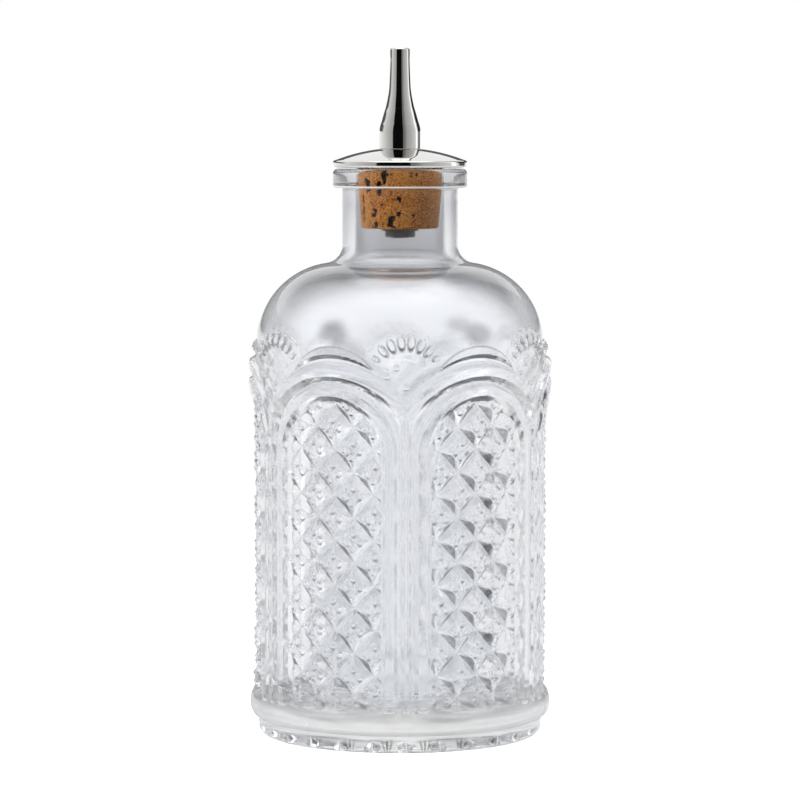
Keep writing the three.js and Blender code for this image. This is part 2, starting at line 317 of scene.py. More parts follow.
def painted_foot_fans(tree, place, turn, facing, broken):
    """Painted shade: dark fans of fine lines between the star's rays, at the low edge of the foot,
    fading where it is seen edge on.
    """
    x, y, z = tree.axes(place)
    half_ray = math.pi / glass_sizes["Rays"]
    between = (half_ray - abs(tree.math("WRAP", turn, half_ray, -half_ray))) * foot_radius
    # The lines of a fan meet 2 mm below the table
    half_gap = 0.12
    slant = (between + 0.05 * MM) / (z + 2 * MM)
    lines = abs(tree.math("WRAP", slant, half_gap, -half_gap)) / half_gap
    fan_edge = 0.7 * MM + z * 0.5
    fans = (1 - tree.step(lines, 0.25, 0.75)) * (1 - tree.step(between, 0.4 * MM, fan_edge))
    fans = fans * tree.step(z, 0.4 * MM, 0.8 * MM) * (1 - tree.step(z, 2.8 * MM, 3.3 * MM))
    outermost = tree.step(tree.length(x, y), 29 * MM, 30 * MM)
    return fans * (1 - tree.step(facing, 0.2, 0.55)) * broken * outermost


def clear_glass(tree):
    """Pressed glass: faintly wavy, dull where "soft" says, milky where "frost_and_highlight" says,
    which also paints a white highlight round the lip, and with painted shade, a near-black glass
    mixed in, along "shade", along "edge" where it is seen edge on, and on the ornament's dark
    marks."""
    place = object_place(tree)
    x, y, z = tree.axes(place)
    worked = attribute(tree, "worked")
    turn = tree.math("ARCTAN2", x, 0 - y)
    relief, shade_strokes, shade_thin_lines, shade_outlines = ornament(tree, glass_sizes, turn, z)
    crisp = crisp_normal(tree, relief + specks(tree, place, z), worked)
    waves = noise(tree, place, 55, 2)
    ripples = noise(tree, place, 420, 1)
    grain = noise(tree, place, 1100, 2)
    skin = waves + ripples * 0.12 + grain * 0.05
    bump = tree.add(
        "ShaderNodeBump",
        sockets={"Strength": 0.25, "Distance": 0.4 * MM, "Height": skin, "Normal": crisp},
    )
    smear_dullness = 0.03
    smears = tree.step(noise(tree, place, 160, 3), 0.45, 0.8)
    dull = smears * smear_dullness + attribute(tree, "soft")

    def glass(colour):
        return tree.add(
            "ShaderNodeBsdfPrincipled",
            sockets={
                "Base Color": colour,
                "Roughness": dull,
                "IOR": 1.5,
                "Transmission Weight": 1,
                "Specular Tint": (0.4, 0.4, 0.4, 1),
                "Normal": bump,
            },
        )

    facing = tree.add("ShaderNodeLayerWeight", sockets={"Blend": 0.5}, out="Facing")
    wall_facing = tree.add(
        "ShaderNodeLayerWeight", sockets={"Blend": 0.5, "Normal": crisp}, out="Facing"
    )
    broken = 0.7 + 0.3 * tree.step(noise(tree, place, 1300, 2), 0.4, 0.6)
    # Painted shade: the ornament's dark marks grow darker where their walls are seen edge on
    edge_on = tree.step(wall_facing, 0.3, 0.65)
    shade_strokes = shade_strokes * (0.72 + 0.23 * edge_on)
    shade_thin_lines = shade_thin_lines * (0.1 + 0.75 * edge_on)
    dark = tree.most(shade_strokes, shade_thin_lines, shade_outlines) * broken * worked
    dark = tree.most(dark, painted_foot_fans(tree, place, turn, facing, broken))
    # Painted shade: the shoulder is greyed where it is seen edge on
    edge_grey = 0.42
    grazing = tree.step(facing, 0.3, 0.75) * attribute(tree, "edge") * edge_grey
    # The near-black glass mixed in by these factors paints the shade
    wall = tree.add(
        "ShaderNodeMixShader",
        sockets={
            0: tree.most(grazing + attribute(tree, "shade"), dark),
            1: glass((0.955, 0.966, 0.99, 1)),
            2: glass((0.04, 0.042, 0.046, 1)),
        },
    )
    # Milky white diffuse: the base's own milkiness, and the painted white highlight line round the
    # lip
    milk = tree.add("ShaderNodeBsdfDiffuse", sockets={"Color": (0.95, 0.95, 0.95, 1)})
    wall = tree.add("ShaderNodeMixShader", sockets={0: attribute(tree, "frost_and_highlight"), 1: wall, 2: milk})
    # Light from the lamps goes straight through
    see_through = tree.add("ShaderNodeBsdfTransparent", sockets={"Color": (0.93, 0.94, 0.95, 1)})
    lamp_ray = tree.add("ShaderNodeLightPath", out="Is Shadow Ray")
    return tree.add("ShaderNodeMixShader", sockets={0: lamp_ray, 1: wall, 2: see_through})


def glass_body(tree):
    return tree.add(
        "ShaderNodeVolumeAbsorption", sockets={"Color": (0.91, 0.9, 0.88, 1), "Density": 14}
    )


def mirror_chrome(tree):
    place = object_place(tree)
    smears = tree.step(noise(tree, place, 130, 4), 0.45, 0.75)
    bump = tree.add(
        "ShaderNodeBump",
        sockets={"Strength": 0.12, "Distance": 0.1 * MM, "Height": noise(tree, place, 260, 2)},
    )
    return tree.add(
        "ShaderNodeBsdfPrincipled",
        sockets={
            "Base Color": tree.mix(smears, (0.74, 0.735, 0.715, 1), (0.69, 0.685, 0.665, 1)),
            "Metallic": 1,
            "Roughness": 0.035 + smears * 0.05,
            "Normal": bump,
        },
    )


def turned_steel(tree):
    place = object_place(tree)
    stretched = tree.add("ShaderNodeMapping", sockets={"Vector": place, "Scale": (1, 1, 12)})
    grain = noise(tree, stretched, 300, 3)
    return tree.add(
        "ShaderNodeBsdfPrincipled",
        sockets={
            # Very dark base colours: painted shade, standing in for the shadow and dark reflections
            # of the steel parts under the cork
            "Base Color": tree.mix(grain, (0.08, 0.07, 0.07, 1), (0.22, 0.19, 0.18, 1)),
            "Metallic": 1,
            "Roughness": 0.12 + grain * 0.2,
        },
    )


def natural_cork(tree):
    """Cork: tan with browner clouds and fine grain. Its pits darken with the depth that the
    shape's rule stored."""
    place = object_place(tree)
    clouds = tree.step(noise(tree, place, 170, 4, 0.6), 0.3, 0.7)
    grain = noise(tree, place, 2600, 3, 0.75)
    tan = tree.mix(clouds, (0.6, 0.17, 0.014, 1), (0.95, 0.36, 0.055, 1))
    speckled = tree.mix(tree.step(grain, 0.5, 0.62) * 0.8, tan, (0.95, 0.52, 0.15, 1))
    speckled = tree.mix(tree.step(grain, 0.47, 0.36) * 0.85, speckled, (0.1, 0.025, 0.003, 1))
    depth = attribute(tree, "pit")
    colour = tree.mix(tree.step(depth, 0.1, 0.5), speckled, (0.012, 0.004, 0.002, 1))
    bump = tree.add(
        "ShaderNodeBump", sockets={"Strength": 0.5, "Distance": 0.15 * MM, "Height": grain}
    )
    return tree.add(
        "ShaderNodeBsdfPrincipled",
        sockets={"Base Color": colour, "Roughness": 0.75 + grain * 0.15, "Normal": bump},
    )


chrome_finish = material("mirror_chrome", mirror_chrome)
steel_finish = material("turned_steel", turned_steel)
cork_finish = material("natural_cork", natural_cork)


# Glass: the plain wall in rings, with the most sides where it carries ornament
FINE, PLAIN, HUB = 432, 144, 48
ROW_STEP = 0.55 * MM


def with_sides(points, sides):
    return [(radius, height, sides) for radius, height in points]


def outside_rows():
    rest_outer = foot_radius - foot_corner
    rest_inner = rest_outer - rest_width
    rows = [(0, recess, HUB)]
    rows += with_sides([(2 * MM, recess), (3 * MM, recess)], HUB)
    rows += with_sides([(4 * MM, recess), (6 * MM, recess)], PLAIN)
    rows += with_sides([(8 * MM, recess)] + line((11 * MM, recess), (rest_inner, recess), 6), FINE)
    rows += with_sides([(rest_inner, recess), (rest_inner + 0.2 * MM, 0)], FINE)
    rows += with_sides(arc(rest_outer, foot_corner, foot_corner, -90, 0, 5), FINE)
    rows += with_sides([(foot_radius, foot_height - 0.3 * MM)], FINE)
    # The ring rises from just inside the body's wall
    steps, sunk = 12, 0.1 * MM
    for i in range(steps + 1):
        turn = math.pi * i / steps
        radius = body_radius - sunk + (ring_bulge + sunk) * math.sin(turn)
        rows.append((radius, foot_height + ring_height * (1 - math.cos(turn)) / 2, FINE))
    start, end = (body_radius, ring_top + 0.3 * MM), (body_radius, shoulder_start)
    rows += with_sides(line(start, end, round((end[1] - start[1]) / ROW_STEP)), FINE)
    # The ornament reaches 26 degrees up the shoulder
    fine_to = 26
    count = round(math.radians(fine_to) * shoulder_radius / ROW_STEP)
    rows += with_sides(arc(shoulder_axis, shoulder_start, shoulder_radius, 0, fine_to, count), FINE)
    rows += with_sides(
        arc(shoulder_axis, shoulder_start, shoulder_radius, fine_to + 3, fillet_meet, 14), PLAIN
    )
    fillet = arc(fillet_axis, fillet_height, neck_fillet, 180 + fillet_meet, 180, 8)
    rows += with_sides(fillet[1:], PLAIN)
    rows += with_sides([(neck_radius, lip_bottom - lip_fillet - 3 * MM)], PLAIN)
    rows += with_sides(
        arc(neck_radius + lip_fillet, lip_bottom - lip_fillet, lip_fillet, 180, 90, 3), PLAIN
    )
    lip_axis = lip_radius - lip_corner
    low_corner = lip_corner * 0.45
    rows += with_sides(
        arc(lip_radius - low_corner, lip_bottom + low_corner, low_corner, -90, 0, 5), PLAIN
    )
    start, end = (lip_radius, lip_bottom + low_corner + 0.1 * MM), (lip_radius, mouth - lip_corner)
    rows += with_sides(line(start, end, 4), PLAIN)
    rows += with_sides(arc(lip_axis, mouth - lip_corner, lip_corner, 0, 90, 6), PLAIN)
    return rows


def hollow_rows():
    inner = body_radius - wall
    rows = with_sides(
        arc(bore + mouth_corner, mouth - mouth_corner, mouth_corner, 90, 180, 4), PLAIN
    )
    rows += with_sides(
        arc(fillet_axis, fillet_height, neck_fillet + wall, 180, 180 + fillet_meet, 8), PLAIN
    )
    rows += with_sides(
        arc(shoulder_axis, shoulder_start, shoulder_radius - wall, fillet_meet, 0, 14)[1:], PLAIN
    )
    floor_axis = inner - floor_corner
    rows += with_sides(
        arc(floor_axis, floor_thickness + floor_corner, floor_corner, 0, -90, 8), PLAIN
    )
    rows += with_sides([(12 * MM, floor_thickness)], PLAIN)
    rows += with_sides([(4 * MM, floor_thickness)], HUB)
    rows += [(0, floor_thickness, HUB)]
    return rows


glass_sizes = {
    "Panels": 6,
    "Ornament radius": ornament_radius,
    "Body radius": body_radius,
    "Ornament bottom": ring_top - 1 * MM,
    "Clear from": fillet_height - 1 * MM,
    "Milky to": foot_height + 3 * MM,
    "Lip bottom": lip_bottom,
    "Lip radius": lip_radius,
    "Rib height": 1.9 * MM,
    "Rib width": 3.3 * MM,
    "Side width": 1.3 * MM,
    "Side reach": 0.62 * MM,
    "Arch radius": 13.9 * MM,
    "Arch spring": shoulder_start - 22.7 * MM,
    "Outer arch radius": 20.5 * MM,
    "Outer arch centre": shoulder_start - 25 * MM,
    "Column width": 2.3 * MM,
    "Lattice pitch": 10.03 * MM,
    "Lattice start": ring_top - 3.6 * MM,
    "Diamond height": 1.9 * MM,
    "Diamond curve": 7 * MM,
    "Diamond steepness": 1.15,
    "Unevenness": 0.9 * MM,
    "Button height": 0.55 * MM,
    "Button radius": 0.95 * MM,
    "Button place": 1.3 * MM,
    "Valley depth": 1.45 * MM,
    "Stroke width": 1.45 * MM,
    "Brow top": shoulder_start + 1.1 * MM,
    "Brow thickness": 2.2 * MM,
    "Brow half length": 10 * MM,
    "Brow rise": 4.9 * MM,
    "Brow height": 1.4 * MM,
    "Fan base": shoulder_start - 6.1 * MM,
    "Fan radius": 8.3 * MM,
    "Flute length": 4 * MM,
    "Flute width": 1.9 * MM,
    "Flute height": 1.4 * MM,
    "Flute turn": math.radians(16),
    "Bead radius": 0.8 * MM,
    "Bead drop": 1.6 * MM,
    "Bead reach": 4.3 * MM,
    "Rays": 24,
    "Ray height": 2 * MM,
    "Ray deepest": 26 * MM,
    "Ray hub": 3 * MM,
    "Ray reach": foot_radius - foot_corner - rest_width,
    "Ray width share": 0.9,
    "Recess": recess,
}


def ornament(tree, size, turn, z):
    """The ornament at a turn from the front and a height: how far it stands out, and how far it
    is painted dark, as painted shade, in stroke marks on the diamonds, in thin lines across them,
    and in outline and fleck marks."""
    most, step, length = tree.most, tree.step, tree.length
    panel = 2 * math.pi / size["Panels"]
    from_column = tree.math("WRAP", turn, panel / 2, panel / -2) * size["Ornament radius"]
    from_centre = (tree.math("WRAP", turn, panel, 0) - panel / 2) * size["Ornament radius"]
    across = abs(from_centre)
    half_panel = panel / 2 * size["Ornament radius"]

    # How much of a nearly flat top's height is round
    round_share = 0.15

    def crest(distance, half):
        """1 on a middle line, falling to 0 at the edge as a round back does."""
        share = distance / half
        return tree.root(1 - share * share)

    def flat(distance, half):
        """1 over a nearly flat top, with straight sides that end a little outside its edge."""
        top = (1 - round_share) + round_share * crest(distance, half)
        return step(half + size["Side reach"] - distance, 0, size["Side width"], "LINEAR") * top

    up = z - size["Arch spring"]
    reach = length(across, most(up, 0))
    rib_half = size["Rib width"] / 2
    arch = flat(abs(reach - size["Arch radius"]), rib_half)
    outer_up = z - size["Outer arch centre"]
    outer_reach = length(across, outer_up)
    outer = flat(abs(outer_reach - size["Outer arch radius"]), rib_half)
    outer = outer * step(outer_up, 0, 1 * MM)
    column_top = size["Outer arch centre"] + tree.root(
        size["Outer arch radius"] * size["Outer arch radius"] - half_panel * half_panel
    )
    column_end = 1 - step(z, column_top - 0.5 * MM, column_top + 0.5 * MM)
    column = flat(abs(from_column), size["Column width"] / 2) * column_end
    ribs = most(arch, outer, column) * size["Rib height"]

    # Diamonds: each is a dome with steep sides and four small round buttons
    pitch = size["Lattice pitch"] / math.sqrt(2)
    rise = z - size["Lattice start"]

    def past_valley(along):
        return tree.math("WRAP", along / math.sqrt(2), pitch / 2, pitch / -2)

    past_one, past_other = past_valley(from_centre + rise), past_valley(from_centre - rise)
    one, other = abs(past_one), abs(past_other)
    to_one, to_other = pitch / 2 - one, pitch / 2 - other
    bulge = (to_one * to_one + to_other * to_other) / (size["Diamond curve"] * 2)
    unrolled = tree.add(
        "ShaderNodeCombineXYZ", sockets={0: turn * size["Body radius"], 1: 0.0, 2: z}
    )
    uneven = (noise(tree, unrolled, 110.0, 1.0) - 0.5) * size["Unevenness"]
    from_button = length(to_one - size["Button place"], to_other - size["Button place"])
    button = (1 - step(from_button, 0.2 * MM, size["Button radius"])) * size["Button height"]
    dome = size["Diamond height"] + uneven - bulge + button
    sides = tree.math("MINIMUM", one, other) * size["Diamond steepness"]
    diamond = tree.math("MINIMUM", sides, dome) - size["Valley depth"]
    rib_inside = size["Arch radius"] - rib_half
    lattice = diamond * (1 - step(reach, rib_inside - 0.3 * MM, rib_inside + 0.5 * MM))

    # Brows: between a steep upper arc and a flatter lower one
    def arc_radius(height):
        half = size["Brow half length"]
        return (half * half + height * height) / (height * 2)

    brow_end = size["Brow top"] - size["Brow rise"]
    lower_rise = size["Brow rise"] - size["Brow thickness"]
    upper_radius, lower_radius = arc_radius(size["Brow rise"]), arc_radius(lower_rise)
    under_upper = upper_radius - length(across, z - (size["Brow top"] - upper_radius))
    over_lower = length(across, z - (brow_end + lower_rise - lower_radius)) - lower_radius
    upper_edge = step(under_upper, -0.05 * MM, 0.25 * MM, "LINEAR")
    lower_edge = step(over_lower, -0.5 * MM, 0.6 * MM, "LINEAR")
    swell = 0.35 + 0.65 * step(under_upper, 0, size["Brow thickness"], "LINEAR")
    brow = tree.math("MINIMUM", upper_edge * swell, lower_edge) * size["Brow height"]

    # Fans of flutes over the columns, and their beads
    fan_up = z - size["Fan base"]
    fan_reach = length(from_column, fan_up)
    fan_turn = tree.math("ARCTAN2", from_column, fan_up)
    off_turn = tree.math("WRAP", fan_turn, size["Flute turn"], 0) - size["Flute turn"] / 2
    flute_off = off_turn * fan_reach
    # The flutes are smaller towards the fan's ends
    shrink = 0.45
    flute_size = 1 - step(abs(fan_turn), math.radians(30), math.radians(62)) * shrink
    flute_across = flute_off / (size["Flute width"] / 2) / flute_size
    flute_along = (fan_reach - size["Fan radius"]) / (size["Flute length"] / 2) / flute_size
    each_side = 4
    fan_end = size["Flute turn"] * each_side
    in_fan = 1 - step(abs(fan_turn), size["Flute turn"] * (each_side - 0.01), fan_end)
    flute_edge = length(flute_across, flute_along)
    flute = step(1 - flute_edge, 0, 0.4, "LINEAR")
    flute = flute * ((1 - round_share) + round_share * crest(flute_edge, 1))
    flute = flute * in_fan * size["Flute height"]
    # The fan's field is a low plate with a scalloped edge
    field_height = 0.18 * MM
    scallop = size["Fan radius"] + size["Flute length"] / 2 + 0.5 * MM - abs(flute_off) * 0.35
    field = 1 - step(fan_reach, scallop - 0.15 * MM, scallop + 0.15 * MM)
    field = field * step(fan_reach, 4 * MM, 6 * MM) * in_fan * field_height

    def bead(across_share, up_share):
        off = from_column - size["Bead reach"] * across_share
        above = fan_up - size["Bead drop"] * up_share
        return crest(length(off, above), size["Bead radius"]) * size["Bead radius"]

    beads = most(bead(0, -1), bead(-0.5, 1.7), bead(-1, 0.5))
    raised = most(ribs, brow, flute, field, beads)
    bare = 1 - step(raised, 0, 0.1 * MM)
    # Painted shade, standing in for the dark seen through steep walls: in each diamond a lens on
    # its lower left side, a line on its lower right side and fleck marks under its buttons, and
    # round it the outline marks of brows and flutes
    inside = step(reach, rib_inside, rib_inside - 0.6 * MM) * bare
    soft_edge = 0.15 * MM
    wide = size["Stroke width"] + uneven
    thin = wide * 0.6
    left_shade_lens = step(wide * step(other, 0, pitch / 2) - one, 0, soft_edge)
    left_shade_lens = step(past_one, 0, 0.1 * MM) * left_shade_lens
    right_shade_line = step(thin * step(one, 0, pitch / 2) - other, 0, soft_edge)
    right_shade_line = step(0 - past_other, 0, 0.1 * MM) * right_shade_line
    centre_one = tree.math("WRAP", past_one + pitch / 2, pitch / 2, pitch / -2)
    centre_other = tree.math("WRAP", past_other + pitch / 2, pitch / 2, pitch / -2)
    right = (centre_one + centre_other) / math.sqrt(2)
    up = (centre_one - centre_other) / math.sqrt(2)
    fleck_half, fleck_thick = 0.75 * MM, 0.4 * MM

    def fleck(aside, above):
        """A small painted dark arc, bent down at its ends, at millimetres from the diamond's
        middle.
        """
        off = right - aside * MM
        raised_by = up - above * MM + abs(off) * -0.5
        return 1 - step(length(off / fleck_half, raised_by / fleck_thick), 0.4, 1)

    shade_flecks = most(fleck(0.5, 0.8), fleck(-1.1, -1.3), fleck(1.9, -1.1)) * 0.7
    brow_shade_line = 1 - step(abs(under_upper - 0.1 * MM), 0.1 * MM, 0.3 * MM)
    brow_shade_line = brow_shade_line * step(over_lower, -0.4 * MM, 0)
    flute_shade_line = 1 - step(abs(flute_edge - 0.9), 0.12, 0.32)
    flute_shade_line = flute_shade_line * (1 - step(flute_along, 0.2, 0.8)) * in_fan
    shade_outlines = most(shade_flecks * inside, brow_shade_line * 0.4, flute_shade_line * 0.5)
    relief = most(raised, lattice) + tree.math("MINIMUM", lattice, 0) * bare
    return relief, left_shade_lens * inside, right_shade_line * inside, shade_outlines


def moulded_relief(tree, size):
    """Raises the ornament out of the plain wall and cuts the star under the foot."""
    most, step = tree.most, tree.step
    x, y, z = tree.axes(tree.add("GeometryNodeInputPosition"))
    radius = tree.length(x, y)
    turn = tree.math("ARCTAN2", x, 0 - y)
    panel = 2 * math.pi / size["Panels"]
    across = abs(tree.math("WRAP", turn, panel, 0) - panel / 2) * size["Ornament radius"]
    hollow = tree.add(
        "GeometryNodeInputNamedAttribute", {"data_type": "FLOAT"}, {"Name": "hollow"}
    )
    outside = 1 - hollow
    # The ring at the bottom stands as far out as the ornament, so the further of the two counts
    above_ring = step(z, size["Ornament bottom"], size["Ornament bottom"] + 0.5 * MM)
    worked = outside * above_ring
    height = ornament(tree, size, turn, z)[0]
    plain = tree.math("MINIMUM", radius, size["Body radius"])
    shown = height * worked
    raised = most(plain + shown - radius, tree.math("MINIMUM", shown, 0))

    # The star: wedges that deepen outwards
    ray = 2 * math.pi / size["Rays"]
    off_ray = abs(tree.math("WRAP", turn, ray / 2, ray / -2)) * radius
    ray_half = ray / 2 * radius * size["Ray width share"]
    rim_share = 0.9
    from_hub = (radius - size["Ray hub"]) / (size["Ray deepest"] - size["Ray hub"])
    from_rim = (size["Ray reach"] - radius) / (size["Ray reach"] - size["Ray deepest"])
    deep = tree.math("MINIMUM", from_hub, from_rim * (1 - rim_share) + rim_share)
    cut = most(deep - off_ray / ray_half, 0) * size["Ray height"]
    under = step(size["Recess"] * 1.5 - z, 0, size["Recess"] * 0.4)
    under = under * step(size["Ray reach"] - radius, -0.1 * MM, 0)

    out = tree.add("ShaderNodeCombineXYZ", sockets={0: x / radius, 1: y / radius, 2: 0.0})
    outwards = tree.add("ShaderNodeVectorMath", {"operation": "SCALE"}, {0: out, "Scale": raised})
    upwards = tree.add("ShaderNodeCombineXYZ", sockets={2: cut * under})
    offset = tree.add("ShaderNodeVectorMath", {"operation": "ADD"}, {0: outwards, 1: upwards})

    # The hollow's wall is less smooth below the neck, and the base is milky and dull
    clear_from = size["Clear from"]
    walls = hollow * (1 - step(z, clear_from, clear_from + 5 * MM)) * 0.17
    base = 1 - step(z, size["Milky to"], size["Milky to"] + 6 * MM)
    base = base * step(z, 2.6 * MM, 3.6 * MM) * 0.25
    soft = most(walls, base)
    # A painted highlight: a bright, milky white line round the lip's lower edge, stored together
    # with the milky base
    bright = 1 - step(abs(z - size["Lip bottom"] - 0.3 * MM), 0.1 * MM, 0.3 * MM)
    bright_from = size["Lip radius"] - 0.6 * MM
    frost_and_highlight = bright * outside * step(radius, bright_from, size["Lip radius"] - 0.3 * MM)
    frost_and_highlight = most(frost_and_highlight * 0.8, base)
    # Painted shade: the plain shoulder is made greyer where it is seen edge on, and grey is painted
    # in a patch over each brow, in the neck, and under it
    edge = step(z, size["Brow top"] - 2 * MM, size["Brow top"] + 5 * MM)
    cloud_up = (z - size["Brow top"] - 2.6 * MM) / (3.4 * MM)
    brow_shade_patch = tree.length(across / (5.5 * MM), cloud_up)
    brow_shade_patch = (1 - step(brow_shade_patch, 0.3, 1)) * 0.5 * outside
    collar = step(z, clear_from - 3 * MM, clear_from - 0.5 * MM)
    collar = collar * (1 - step(z, clear_from + 4 * MM, clear_from + 6 * MM)) * hollow * 0.4
    neck = step(z, clear_from + 1 * MM, clear_from + 4 * MM) * outside * 0.14
    # Painted shade: the star's rays are dark along fine lines
    fine = ray / 6
    off_line = abs(tree.math("WRAP", turn, fine / 2, fine / -2)) / (fine / 2)
    lines = (1 - step(off_line, 0.2, 0.8)) * (1 - step(off_ray / ray_half, 0.4, 0.9))
    lines = lines * step(radius, 17 * MM, 23 * MM) * under * 0.9
    shade = most(brow_shade_patch, collar, neck, lines)
    stored = tree.add(
        "GeometryNodeStoreNamedAttribute",
        {"data_type": "FLOAT_VECTOR", "domain": "POINT"},
        {"Geometry": size, "Name": "plain", "Value": tree.add("GeometryNodeInputNormal")},
    )
    marks = {"worked": worked, "soft": soft, "edge": edge, "shade": shade, "frost_and_highlight": frost_and_highlight}
    for name, value in marks.items():
        stored = store(tree, stored, name, value)
    return tree.add("GeometryNodeSetPosition", sockets={"Geometry": stored, "Offset": offset})


glass_finish = material("clear_glass", clear_glass, glass_body)


def glass_wall():
    """The plain wall, with its inner side marked."""
    inner = hollow_rows()
    mesh = turned("glass_wall", outside_rows() + inner, closed=False)
    inside = sum(sides if radius > 0 else 1 for radius, height, sides in inner)
    outside = len(mesh.vertices) - inside
    marks = mesh.attributes.new("hollow", "FLOAT", "POINT")
    marks.data.foreach_set("value", [0.0] * outside + [1.0] * inside)
    return mesh


glass = shaped("moulded_glass", glass_wall(), glass_finish, glass_sizes, moulded_relief)
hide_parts("glass_bottle")
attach(glass, "bottle")

# The stopper's sizes, and how many sides its round pieces have
METAL, CORK = 96, 320
clearance = 0.3 * MM
seat_gap = 0.1 * MM
cork_height = 13.7 * MM
cork_taper = 1 * MM
rim_radius = 15.2 * MM
rim_thickness = 1.35 * MM
rim_round = 0.5 * MM
dome_radius = 40 * MM
stem_radius = 2.2 * MM
washer_radius = 4.2 * MM
washer_thickness = 0.5 * MM
spout_height = 22.5 * MM
base_radius = 4.68 * MM
base_height = 4.1 * MM
tip_radius = 2.2 * MM
tip_round = 0.5 * MM
spout_bore = 1 * MM
socket_depth = 5.5 * MM

dome_seat = mouth + clearance
cork_top = dome_seat - seat_gap
cork_bottom = cork_top - cork_height
cork_radius = bore - clearance
washer_top = cork_bottom - seat_gap
stem_hole = stem_radius + clearance
rim_top = dome_seat + rim_thickness


def dome_rise(radius):
    """How far the dome's sphere is above its rim at a radius."""
    rim = math.sqrt(dome_radius ** 2 - rim_radius ** 2)
    return math.sqrt(dome_radius ** 2 - radius ** 2) - rim


# The spout stands on a flat land on the dome
land = base_radius + clearance
dome_top = rim_top + dome_rise(land)
seam = 0.05 * MM
spout_bottom = dome_top + seam


def dome_rows():
    edge = rim_radius - rim_round
    rows = [(stem_hole, dome_seat)] + line((stem_hole + 0.2 * MM, dome_seat), (edge, dome_seat), 3)
    rows += [(edge - 0.06 * MM, dome_seat)]
    rows += arc(edge, dome_seat + rim_round, rim_round, -90, 0, 6)
    rows += arc(edge, rim_top - rim_round * 0.6, rim_round, 0, 62, 5)
    steps = 26
    for i in range(1, steps + 1):
        radius = edge - (edge - land) * i / steps
        rows.append((radius, rim_top + dome_rise(radius)))
    bevel = 0.1 * MM
    rows += [(land - bevel, dome_top), (stem_hole + bevel, dome_top)]
    rows += [(stem_hole, dome_top - bevel)]
    return with_sides(rows, PLAIN)


dome = in_place("polished_dome", turned("polished_dome", dome_rows()))
dome.data.materials.append(chrome_finish)
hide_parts("dome_flange")
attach(dome, "stopper")


def smooth_through(points, steps):
    """More points between the given ones, on a smooth curve through them."""
    ends = [points[0]] + points + [points[-1]]

    def between_middle(p, q, r, s, t):
        """From q to r as t goes from 0 to 1, in the direction of the points on either side."""
        squared = (2 * p - 5 * q + 4 * r - s) * t * t
        return 0.5 * (2 * q + (r - p) * t + squared + (3 * q - p - 3 * r + s) * t ** 3)

    found = []
    for four in zip(ends, ends[1:], ends[2:], ends[3:]):
        for i in range(steps):
            found.append(tuple(between_middle(*along, i / steps) for along in zip(*four)))
    return found + [points[-1]]


def spout_rows():
    top = dome_top + clearance + spout_height
    cylinder_top = dome_top + clearance + base_height
    taper = top - cylinder_top
    drop = base_radius - tip_radius
    # Shares of the taper's height, and of what is left of the drop in radius there
    heights = [-0.027, 0, 0.05, 0.1, 0.2, 0.25, 0.3, 0.4, 0.5, 0.7]
    radii = [1, 0.985, 0.91, 0.79, 0.58, 0.46, 0.36, 0.21, 0.1, 0.03]
    points = [(tip_radius + drop * r, cylinder_top + taper * h) for h, r in zip(heights, radii)]
    rows = [(stem_hole, spout_bottom), (stem_hole + 0.1 * MM, spout_bottom)]
    foot_round = 0.18 * MM
    rows += arc(base_radius - foot_round, spout_bottom + foot_round, foot_round, -90, 0, 5)
    rows += line((base_radius, spout_bottom + 0.24 * MM), (base_radius, cylinder_top - 0.5 * MM), 5)
    rows += smooth_through(points, 5)[1:] + [(tip_radius, top - tip_round - 2 * MM)]
    rows += arc(tip_radius - tip_round, top - tip_round, tip_round, 0, 90, 6)
    rows += [(spout_bore + 0.15 * MM, top), (spout_bore, top - 0.15 * MM)]
    socket_top = spout_bottom + socket_depth
    rows += [(spout_bore, socket_top + stem_hole - spout_bore), (stem_hole, socket_top)]
    return with_sides(rows, METAL)


spout = in_place("polished_spout", turned("polished_spout", spout_rows()))
spout.data.materials.append(chrome_finish)
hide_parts("pour_spout")
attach(spout, "spout")


def cork_rows():
    bottom = cork_radius - cork_taper
    round_edge = 0.5 * MM
    rows = [(stem_hole, cork_bottom)]
    rows += line((stem_hole + 0.2 * MM, cork_bottom), (bottom - round_edge, cork_bottom), 16)
    rows += arc(bottom - round_edge, cork_bottom + round_edge, round_edge, -90, -8, 5)
    rows += line((bottom, cork_bottom + round_edge), (cork_radius, cork_top - round_edge), 72)
    rows += arc(cork_radius - round_edge, cork_top - round_edge, round_edge, 0, 90, 4)
    return with_sides(rows, CORK)


cork_sizes = {
    "Pit depth": 0.8 * MM,
    "Pit spacing": 2 * MM,
    "Pit stretch": 0.5,
    "Wander": 1.5 * MM,
    "Crowded side": -3.5 * MM,
}


